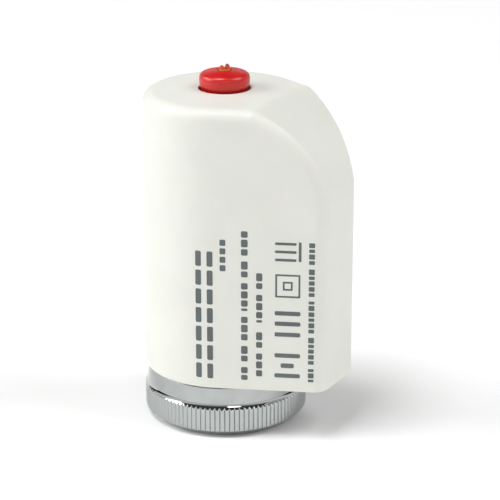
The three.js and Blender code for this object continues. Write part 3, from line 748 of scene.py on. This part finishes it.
def nut_outside(knurl):
    """Rows up the nut's outside as (radius, height, finish), cut back to the knurl's radius."""
    profile = filleted([
        (16.3, 0, 0.0), (17.0, 0, 0.2), (NUT_RADIUS, KNURL_BOTTOM, 0.25), (NUT_RADIUS, KNURL_TOP, 0.1),
        (18.58, 7.65, 3.0), (COLLAR_RADIUS, 8.25, 0.6), (COLLAR_RADIUS - 0.01, 9.2, 0.0),
        (COLLAR_RADIUS_TOP, NUT_TOP, 0.2), (17.4, NUT_TOP, 0.0),
    ], steps=4)
    rows = []
    for (r0, z0), (r1, z1) in zip(profile[:-1], profile[1:]):
        if z0 < KNURL_MIDDLE < z1:
            steps = KNURL_ROWS
        elif z1 < PLAIN_FROM:
            steps = max(1, math.ceil(math.hypot(r1 - r0, z1 - z0) / ROW_STEP))
        else:
            steps = 1
        for t in np.linspace(0, 1, steps, endpoint=False):
            radius, z = r0 + (r1 - r0) * t, z0 + (z1 - z0) * t
            finish = KNURLED if z < RING_TOP else POLISHED if z < COLLAR_BOTTOM else SATIN
            rows.append((np.minimum(radius, knurl) if z < PLAIN_FROM else radius, z, finish))
    return rows


def nut_bore():
    """Rows from the nut's top down past the lip that hangs on the ring, to the thread."""
    profile = filleted([
        (15.2, NUT_TOP, 0.0), (LIP_RADIUS, NUT_TOP, 0.25), (LIP_RADIUS, LIP_BOTTOM, 0.15),
        (RELIEF_RADIUS, LIP_BOTTOM, 0.1), (RELIEF_RADIUS, RELIEF_BOTTOM, 0.1), (THREAD_MAJOR, 8.1, 0.0),
    ], steps=3)
    return [(radius, z, THREADED) for radius, z in profile]


def nut_thread(angles):
    """Rows down the M30 x 1.5 thread, which runs out at both ends, and over the nut's mouth."""
    rows = []
    count = int((THREAD_HIGH - THREAD_LOW) / THREAD_PITCH * ROWS_PER_PITCH)
    for z in np.linspace(THREAD_HIGH, THREAD_LOW, count):
        phase = np.mod(z / THREAD_PITCH - angles / (2 * math.pi), 1)
        ridge = np.clip(RIDGE_HEIGHT - RIDGE_FALL * np.abs(phase - 0.5), 0, 1)
        fade = min(1.0, (THREAD_HIGH - z) / THREAD_RUNOUT, (z - THREAD_LOW) / THREAD_RUNOUT)
        rows.append((THREAD_MAJOR - (THREAD_MAJOR - THREAD_MINOR) * ridge * fade, z, THREADED))
    mouth = ((THREAD_MAJOR, 0.6), (15.6, 0.12), (15.75, 0.0))
    return rows + [(radius, z, KNURLED) for radius, z in mouth]


def nut():
    """The nut: knurled ring, polished chamfer and satin collar outside, an M30 thread inside."""
    tooth = np.array([k + share for k in range(TEETH) for share in TOOTH_PLACES])
    angles = tooth / TEETH * 2 * math.pi
    from_crest = np.abs(2 * (tooth - np.round(tooth)))
    knurl = NUT_RADIUS - TOOTH_DEPTH * from_crest**TOOTH_BLUNTNESS
    rows = nut_outside(knurl) + nut_bore() + nut_thread(angles)
    columns = len(angles)
    points = np.vstack([
        np.column_stack([radius * np.cos(angles), radius * np.sin(angles), np.full(columns, z)])
        for radius, z, _ in rows
    ])
    piece = new_piece(
        "knurled_nut", points, ring_faces(len(rows), columns, close_rows=True), "nut",
        replaces=["union_nut"], slot="nut_chrome",
    )
    paint(piece, SATIN_CHROME, POLISHED_CHROME, KNURL_CHROME, THREAD_CHROME)
    finishes = np.repeat([finish for *_, finish in rows], columns)
    piece.data.polygons.foreach_set("material_index", finishes)
    shade_by_angle(piece, 40)
    return piece


# ----------------------------------------------------------------------
# The position button and its stem

# The cap: its neck inside the housing, its bulging side as (radius, height above the housing's
# top), the low dome on it and the hole that the stem's tip comes through.
CAP_BORE, CAP_NECK, CAP_NECK_TOP = 4.3, 5.1, -0.8
CAP_SIDE = (
    (5.14, -0.3), (5.34, 0.3), (5.6, 1.0), (5.75, 1.8), (5.74, 2.5), (5.60, 3.07), (5.26, 3.5),
    (4.78, 3.75),
)
DOME_RADIUS, DOME_EDGE = 19.0, 4.2
SIDE_STEPS, DOME_STEPS, PRONG_STEPS = 5, 11, 11
CAP_ROOF = 2.1
TIP_HOLE, TIP_HOLE_EDGE, TIP_HOLE_CHAMFER = 1.62, 1.75, 0.3

# The stem: radii of its foot, shank and tip, and the tip's two prongs, one a little shorter.
STEM_FOOT, STEM_FOOT_HEIGHT = 4.0, 1.5
STEM_SHANK = 2.2
STEM_TIP, TIP_HEIGHT, SLOT_DEPTH = 1.4, 3.7, 1.05
PRONG_ANGLE = math.radians(61.6)
PRONG_OFFSET, PRONG_RADIUS, PRONG_NECK, PRONG_HEAD = 0.72, 0.6, 0.58, 0.85
PRONG_DROPS = {1: 0.05, -1: 0.2}


def dome_height(radius):
    """The height of the cap's dome at a radius."""
    return CAP_CREST - (DOME_RADIUS - math.sqrt(DOME_RADIUS**2 - radius**2))


def button():
    """The red button: a low dome over a barrel that draws in towards the housing."""
    side = [(radius, TOP + rise) for radius, rise in CAP_SIDE] + [(DOME_EDGE, dome_height(DOME_EDGE))]
    dome_radii = np.linspace(DOME_EDGE, TIP_HOLE_EDGE, DOME_STEPS + 1)[1:]
    dome = [(radius, dome_height(radius)) for radius in dome_radii]
    neck_top = TOP + CAP_NECK_TOP
    neck = [(CAP_BORE, CAP_BOTTOM, 0.1), (CAP_NECK, CAP_BOTTOM, 0.25), (CAP_NECK, neck_top, 0.0)]
    outside = [(radius, z, 0.0) for radius, z in [*smooth_path(side, SIDE_STEPS), *dome]]
    roof = CAP_CREST - CAP_ROOF
    edge = CAP_CREST - TIP_HOLE_CHAMFER
    hole = [(TIP_HOLE, edge, 0.0), (TIP_HOLE, roof, 0.0), (CAP_BORE, roof - 0.2, 0.3)]
    piece = turned("button_cap", neck + outside + hole, "lifter", segments=144,
                   replaces=["indicator_cap"], slot="cap_plastic")
    return paint(piece, RED)


def prong(side):
    """One of the tip's two rounded prongs: a bead on a short neck."""
    top = STEM_CREST - PRONG_DROPS[side]
    centre = (side * PRONG_OFFSET * math.cos(PRONG_ANGLE), side * PRONG_OFFSET * math.sin(PRONG_ANGLE))
    profile = [(0, top - TIP_HEIGHT, 0), (PRONG_NECK, top - TIP_HEIGHT, 0.0)]
    for angle in np.linspace(0, math.pi / 2, PRONG_STEPS, endpoint=False):
        z = top - PRONG_HEAD + PRONG_HEAD * math.sin(angle)
        profile.append((PRONG_RADIUS * math.cos(angle), z, 0.0))
    return turned("prong", profile + [(0, top, 0)], None, centre, segments=40)


def stem():
    """The stem: a foot on the yoke, a long shank, and a tip split into two rounded prongs."""
    foot_top, shank_top = STEM_BOTTOM + STEM_FOOT_HEIGHT, STEM_CREST - TIP_HEIGHT
    slot_floor = STEM_CREST - SLOT_DEPTH
    piece = turned("position_stem", [
        (0, STEM_BOTTOM, 0), (STEM_FOOT, STEM_BOTTOM, 0.2), (STEM_FOOT, foot_top, 0.2),
        (STEM_SHANK, foot_top, 0.3), (STEM_SHANK, shank_top, 0.2), (STEM_TIP, shank_top, 0.0),
        (STEM_TIP, slot_floor, 0.3), (0, slot_floor, 0),
    ], None, segments=64)
    for side in (1, -1):
        join(piece, prong(side))
    finish_piece(piece, "lifter", ["indicator_stem"])
    shade_by_angle(piece, 50)
    return paint(piece, ORANGE)


def join(piece, other):
    """Joins a piece with another, which is then removed."""
    bpy.context.view_layer.update()
    change = piece.modifiers.new("change", "BOOLEAN")
    change.operation = "UNION"
    change.object = other
    change.solver = "EXACT"
    graph = bpy.context.evaluated_depsgraph_get()
    result = bpy.data.meshes.new_from_object(piece.evaluated_get(graph))
    piece.modifiers.clear()
    piece.data = result
    bpy.data.objects.remove(other)


# ----------------------------------------------------------------------
# Pieces seen from below and inside


def base():
    """The base: the CAD shape with its edges broken."""
    return paint(softened("base", "base_plate", "root", 0.18), BASE_PLASTIC)


RING_MIDDLE, RING_HALF_WIDTH, RING_HALF_GAP, RING_STEPS = 13.3, 1.0, 2.5, 160
RING_SECTION = ((-1, -0.6), (-0.8, -1), (0.8, -1), (1, -0.6), (1, 0.6), (0.8, 1), (-0.8, 1), (-1, 0.6))


def retaining_ring():
    """The open snap ring, a rounded rectangle bent round the spigot."""
    bottom, top = levels("retaining_ring")
    opening = math.asin(RING_HALF_GAP / RING_MIDDLE)
    path = [
        (RING_MIDDLE * math.cos(a), RING_MIDDLE * math.sin(a), (bottom + top) / 2)
        for a in np.linspace(-math.pi + opening, math.pi - opening, RING_STEPS)
    ]
    section = [(across * RING_HALF_WIDTH, up * (top - bottom) / 2) for across, up in RING_SECTION]
    piece = swept("snap_ring", path, section, "root", replaces=["retaining_ring"], slot="ring_steel")
    shade_by_angle(piece, 40)
    return paint(piece, BRIGHT_STEEL)


# The closing spring's wire radius and turns, the share of its length in each closed end coil, and
# a slight unevenness of its rise.
SPRING_WIRE = 0.9
SPRING_TURNS = 4.75
SPRING_CLOSED = 0.14
SPRING_WAVER = 0.02
SPRING_STEPS, WIRE_SIDES = 420, 16


def spring():
    """The closing spring: round wire, with its end coils closed, running between its two seats."""
    low, high = SPRING_LOW[2] + SPRING_WIRE, SPRING_HIGH[2] - SPRING_WIRE
    radius = SPRING_HIGH[0] - SPRING_WIRE
    along = np.linspace(0, 1, SPRING_STEPS)
    rise = np.clip((along - SPRING_CLOSED) / (1 - 2 * SPRING_CLOSED), 0, 1)
    rise = rise + SPRING_WAVER * np.sin(2 * math.pi * rise)
    angles = along * SPRING_TURNS * 2 * math.pi
    path = np.column_stack([radius * np.cos(angles), radius * np.sin(angles), low + (high - low) * rise])
    piece = swept("closing_coil", path, circle(SPRING_WIRE, WIRE_SIDES), None)
    paint(piece, SPRING_STEEL)
    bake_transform(piece)
    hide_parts("closing_spring")
    shade_by_angle(piece, 60)
    return piece


LEAD_RADIUS, LEAD_STEPS, LEAD_SIDES = 0.8, 12, 20
LIVE_ROUTE = (
    (6.6, 7.9, 37), (9.6, 9.5, 36.6), (14, 8.4, 34.6), (19, 5.2, 32.4), (22.7, 2.8, 31), (23.5, 2, 28.3),
)
NEUTRAL_ROUTE = (
    (6.6, -7.9, 33.9), (9.6, -9.5, 33.7), (14, -8.4, 32.8), (19, -5.2, 31.6), (22.7, -2.8, 30.7),
    (23.5, -2, 28.3),
)


def lead(name, route, finish, slot):
    """An inner lead along its route."""
    path, section = smooth_path(route, LEAD_STEPS), circle(LEAD_RADIUS, LEAD_SIDES)
    piece = swept(name + "_wire", path, section, "root", replaces=[name], slot=slot)
    shade_by_angle(piece, 60)
    return paint(piece, finish)


# The capsule: radii, and the thickness of each piece's floor, lip or flange.
CUP_RADIUS, CUP_MOUTH, CUP_BORE = 6.5, 4.2, 5.4
CUP_FLOOR, CUP_LIP = 1.0, 0.7
CONTENTS_RADIUS = 5.1
WAX_HOLLOW, WAX_FLOOR = 3.5, 1.0
BOOT_RADIUS, BOOT_BORE = 3.2, 2.2
BOOT_FLANGE, BOOT_FLOOR = 1.0, 0.7
GUIDE_RADIUS, GUIDE_FLANGE = 3.4, 1.4
PISTON_RADIUS = 1.9


def capsule():
    """The wax capsule: brass cup, wax, rubber boot, guide and piston."""
    bottom, top = levels("wax_cup")
    floor_top, lip = bottom + CUP_FLOOR, top - CUP_LIP
    paint(turned("capsule_cup", [
        (0, bottom, 0), (CUP_RADIUS, bottom, 0.5), (CUP_RADIUS, top, 0.5), (CUP_MOUTH, top, 0.15),
        (CUP_MOUTH, lip, 0.15), (CUP_BORE, lip, 0.2), (CUP_BORE, floor_top, 0.4), (0, floor_top, 0),
    ], "root", replaces=["wax_cup"], slot="cup_brass"), BRASS)
    bottom, top = levels("wax_charge")
    floor_top = bottom + WAX_FLOOR
    paint(turned("capsule_wax", [
        (0, bottom, 0), (CONTENTS_RADIUS, bottom, 0.3), (CONTENTS_RADIUS, top, 0.3),
        (WAX_HOLLOW, top, 0.2), (WAX_HOLLOW, floor_top, 0.5), (0, floor_top, 0),
    ], "root", replaces=["wax_charge"], slot="wax"), WAX)
    bottom, top = levels("rubber_boot")
    floor_top, flange = bottom + BOOT_FLOOR, top - BOOT_FLANGE
    paint(turned("capsule_boot", [
        (0, bottom, 0), (BOOT_RADIUS, bottom, 0.5), (BOOT_RADIUS, flange, 0.25),
        (CONTENTS_RADIUS, flange, 0.15), (CONTENTS_RADIUS, top, 0.15), (BOOT_BORE, top, 0.15),
        (BOOT_BORE, floor_top, 0.4), (0, floor_top, 0),
    ], "root", replaces=["rubber_boot"], slot="boot_rubber"), RUBBER)
    bottom, top = levels("piston_guide")
    flange = bottom + GUIDE_FLANGE
    paint(turned("capsule_guide", [
        (BOOT_BORE, bottom, 0.15), (CONTENTS_RADIUS, bottom, 0.2), (CONTENTS_RADIUS, flange, 0.2),
        (GUIDE_RADIUS, flange, 0.25), (GUIDE_RADIUS, top, 0.25), (BOOT_BORE, top, 0.2),
    ], "root", replaces=["piston_guide"], slot="cup_brass"), BRASS)
    bottom, top = levels("piston")
    paint(turned("capsule_piston", [
        (0, bottom, 0), (PISTON_RADIUS, bottom, 0.4), (PISTON_RADIUS, top, 0.3), (0, top, 0),
    ], "lifter", segments=64, replaces=["piston"], slot="piston_steel"), BRIGHT_STEEL)


HEATER_RADIUS = 5.6


def heater():
    """The ceramic heater pill under the capsule."""
    bottom, top = levels("ptc_heater")
    paint(turned("heater_pill", [
        (0, bottom, 0), (HEATER_RADIUS, bottom, 0.25), (HEATER_RADIUS, top, 0.25), (0, top, 0),
    ], "root", replaces=["ptc_heater"], slot="heater_ceramic"), CERAMIC)


PLUNGER_RADIUS, PLUNGER_FACE_RADIUS, PLUNGER_DISC = 6.0, 5.3, 2.5
PLUNGER_STUD = 1.7


def plunger():
    """The plunger that presses on the valve: a disc on a thin stud."""
    bottom, top = levels("plunger")
    disc_top = bottom + PLUNGER_DISC
    paint(turned("plunger_disc", [
        (0, bottom, 0), (PLUNGER_FACE_RADIUS, bottom, 0.1), (PLUNGER_RADIUS, bottom + 0.5, 0.15),
        (PLUNGER_RADIUS, disc_top, 0.3), (PLUNGER_STUD, disc_top, 0.3), (PLUNGER_STUD, top, 0.25),
        (0, top, 0),
    ], "lifter", replaces=["plunger"], slot="plunger_steel"), BRIGHT_STEEL)


WASHER_BORE, WASHER_RADIUS, WASHER_ROUND = 7.5, 9.5, 0.12


def spring_washer():
    """The washer that the spring stands on."""
    bottom, top = levels("spring_washer")
    paint(turned("spring_seat", [
        (WASHER_BORE, bottom, WASHER_ROUND), (WASHER_RADIUS, bottom, WASHER_ROUND),
        (WASHER_RADIUS, top, WASHER_ROUND), (WASHER_BORE, top, WASHER_ROUND),
    ], "lifter", replaces=["spring_washer"], slot="washer_steel"), PLATED_STEEL)


PIN_RADIUS, PIN_POINT_RADIUS, PIN_OFFSET = 0.7, 0.3, 2.0
CRIMP_RADIUS, CRIMP_WAIST = 1.3, 1.12


def contacts():
    """The inlet's two pins, and the sleeves that join the inner leads to them."""
    for side, name in ((1, "live"), (-1, "neutral")):
        pin, crimp = "socket_pin_" + name, name + "_crimp"
        low, high = corners(pin)
        centre = ((low[0] + high[0]) / 2, side * PIN_OFFSET)
        bottom, top = low[2], high[2]
        paint(turned("contact_pin_" + name, [
            (0, bottom, 0), (PIN_POINT_RADIUS, bottom, 0.1), (PIN_RADIUS, bottom + 0.8, 0.3),
            (PIN_RADIUS, top, 0.1), (0, top, 0),
        ], "root", centre, segments=32, replaces=[pin], slot="pin_brass"), TINNED)
        bottom, top = levels(crimp)
        paint(turned("sleeve_" + name, [
            (0, bottom, 0), (CRIMP_RADIUS, bottom, 0.2), (CRIMP_RADIUS, bottom + 0.9, 0.1),
            (CRIMP_WAIST, bottom + 1.2, 0.1), (CRIMP_WAIST, bottom + 2.0, 0.1),
            (CRIMP_RADIUS, bottom + 2.3, 0.1), (CRIMP_RADIUS, top, 0.2), (0, top, 0),
        ], "root", centre, segments=32, replaces=[crimp], slot="pin_brass"), TINNED)


def block_pieces():
    """The other pieces whose CAD shape is right, with their edges broken by a round."""
    for source, name, body, width, slot, finish in (
        ("spring_frame", "steel_bridge", "root", 0.15, "frame_steel", PLATED_STEEL),
        ("element_holder", "capsule_holder", "root", 0.2, "holder_plastic", DARK_PLASTIC),
        ("yoke", "lifting_yoke", "lifter", 0.3, "yoke_plastic", GREY_PLASTIC),
        ("lower_contact", "contact_plate_lower", "root", 0.08, "contact_brass", CONTACT_BRASS),
        ("upper_contact", "contact_plate_upper", "root", 0.08, "contact_brass", CONTACT_BRASS),
        ("lead_socket", "inlet_socket", "root", 0.18, "socket_plastic", DARK_PLASTIC),
        ("frame_screw_left", "bridge_screw_left", "root", 0.1, "screw_steel", PLATED_STEEL),
        ("frame_screw_right", "bridge_screw_right", "root", 0.1, "screw_steel", PLATED_STEEL),
    ):
        paint(softened(source, name, body, width), finish)


# ----------------------------------------------------------------------
# Stage: floor, light and camera

LOOK_AT = Vector((4.99, 2.84, 39.35)) * MM
AZIMUTH, ELEVATION = math.radians(29.6), math.radians(19.66)
CAMERA_DISTANCE = 447.5 * MM
LENS, SENSOR_WIDTH = 138.5, 36
FLOOR_HALF = 6.0

# Brightness of the surroundings against the sine of the elevation: a pale band low down, which the
# chrome mirrors, between a dark horizon and a dim sky.
SKY_BANDS = ((0.11, 0.02), (0.14, 0.85), (0.28, 0.85), (0.37, 0.06))

# Softboxes: azimuth and elevation in degrees, width and height in metres, power in watts.
LAMP_DISTANCE = 2.4
LAMPS = {
    "key": (-60, 29, 1.9, 0.95, 34.5),
    "overhead": (-20, 70, 1.0, 1.0, 29.5),
    "front": (42, 23, 0.72, 0.27, 3.5),
    "fill": (110, 48, 1.4, 1.4, 26.0),
}


def away(azimuth, elevation):
    """The direction from the object to a viewer. Azimuth counts from -Y towards the nose."""
    level = math.cos(elevation)
    return Vector((level * math.sin(azimuth), -level * math.cos(azimuth), math.sin(elevation)))


def placed(name, data, location):
    """A camera or light put in the scene and aimed at the object."""
    thing = bpy.data.objects.new(name, data)
    bpy.context.scene.collection.objects.link(thing)
    thing.location = location
    thing.rotation_euler = (LOOK_AT - thing.location).to_track_quat("-Z", "Y").to_euler()
    return thing


def camera():
    """A long lens at the photograph's viewing angle."""
    data = bpy.data.cameras.new("camera")
    data.lens = LENS
    data.sensor_width = SENSOR_WIDTH
    data.clip_start = 0.01
    data.clip_end = 50
    seen = placed("camera", data, LOOK_AT + CAMERA_DISTANCE * away(AZIMUTH, ELEVATION))
    bpy.context.scene.camera = seen


def floor():
    """A wide pale floor."""
    mesh = bpy.data.meshes.new("floor")
    half = FLOOR_HALF
    mesh.from_pydata([(-half, -half, 0), (half, -half, 0), (half, half, 0), (-half, half, 0)], [],
                     [(0, 1, 2, 3)])
    ground = bpy.data.objects.new("floor", mesh)
    bpy.context.scene.collection.objects.link(ground)
    ground.data.materials.append(material("floor_paint", (0.97, 0.97, 0.97), 0.9))


def softbox(name, azimuth, elevation, width, height, power):
    """A rectangular area light aimed at the object."""
    data = bpy.data.lights.new(name, "AREA")
    data.shape = "RECTANGLE"
    data.size = width
    data.size_y = height
    data.energy = power
    placed(name, data, LOOK_AT + LAMP_DISTANCE * away(math.radians(azimuth), math.radians(elevation)))


def surroundings():
    """A world that is bright in one low band only."""
    world = bpy.data.worlds.new("surroundings")
    bpy.context.scene.world = world
    world.use_nodes = True
    tree = world.node_tree
    direction = tree.nodes.new("ShaderNodeTexCoord")
    parts = tree.nodes.new("ShaderNodeSeparateXYZ")
    ramp = tree.nodes.new("ShaderNodeValToRGB")
    elements = ramp.color_ramp.elements
    for height, _ in SKY_BANDS[1:-1]:
        elements.new(height)
    for element, (height, level) in zip(elements, SKY_BANDS):
        element.position = height
        element.color = (level, level, level, 1)
    tree.links.new(direction.outputs["Generated"], parts.inputs["Vector"])
    tree.links.new(parts.outputs["Z"], ramp.inputs["Fac"])
    tree.links.new(ramp.outputs["Color"], tree.nodes["Background"].inputs["Color"])
    tree.nodes["Background"].inputs["Strength"].default_value = 1.0


def studio():
    """Soft light: a broad key on the left, a fill on the right, one lamp overhead, and a small one
    in front that the nut mirrors."""
    surroundings()
    for name, lamp in LAMPS.items():
        softbox(name, *lamp)
    bpy.context.scene.view_settings.view_transform = "Standard"


# ----------------------------------------------------------------------
# Assembly

housing()
printed_marks()
nut()
button()
stem()
base()
retaining_ring()
spring()
capsule()
heater()
plunger()
spring_washer()
contacts()
block_pieces()
lead("live_lead", LIVE_ROUTE, LIVE, "live_insulation")
lead("neutral_lead", NEUTRAL_ROUTE, NEUTRAL, "neutral_insulation")
floor()
studio()
camera()
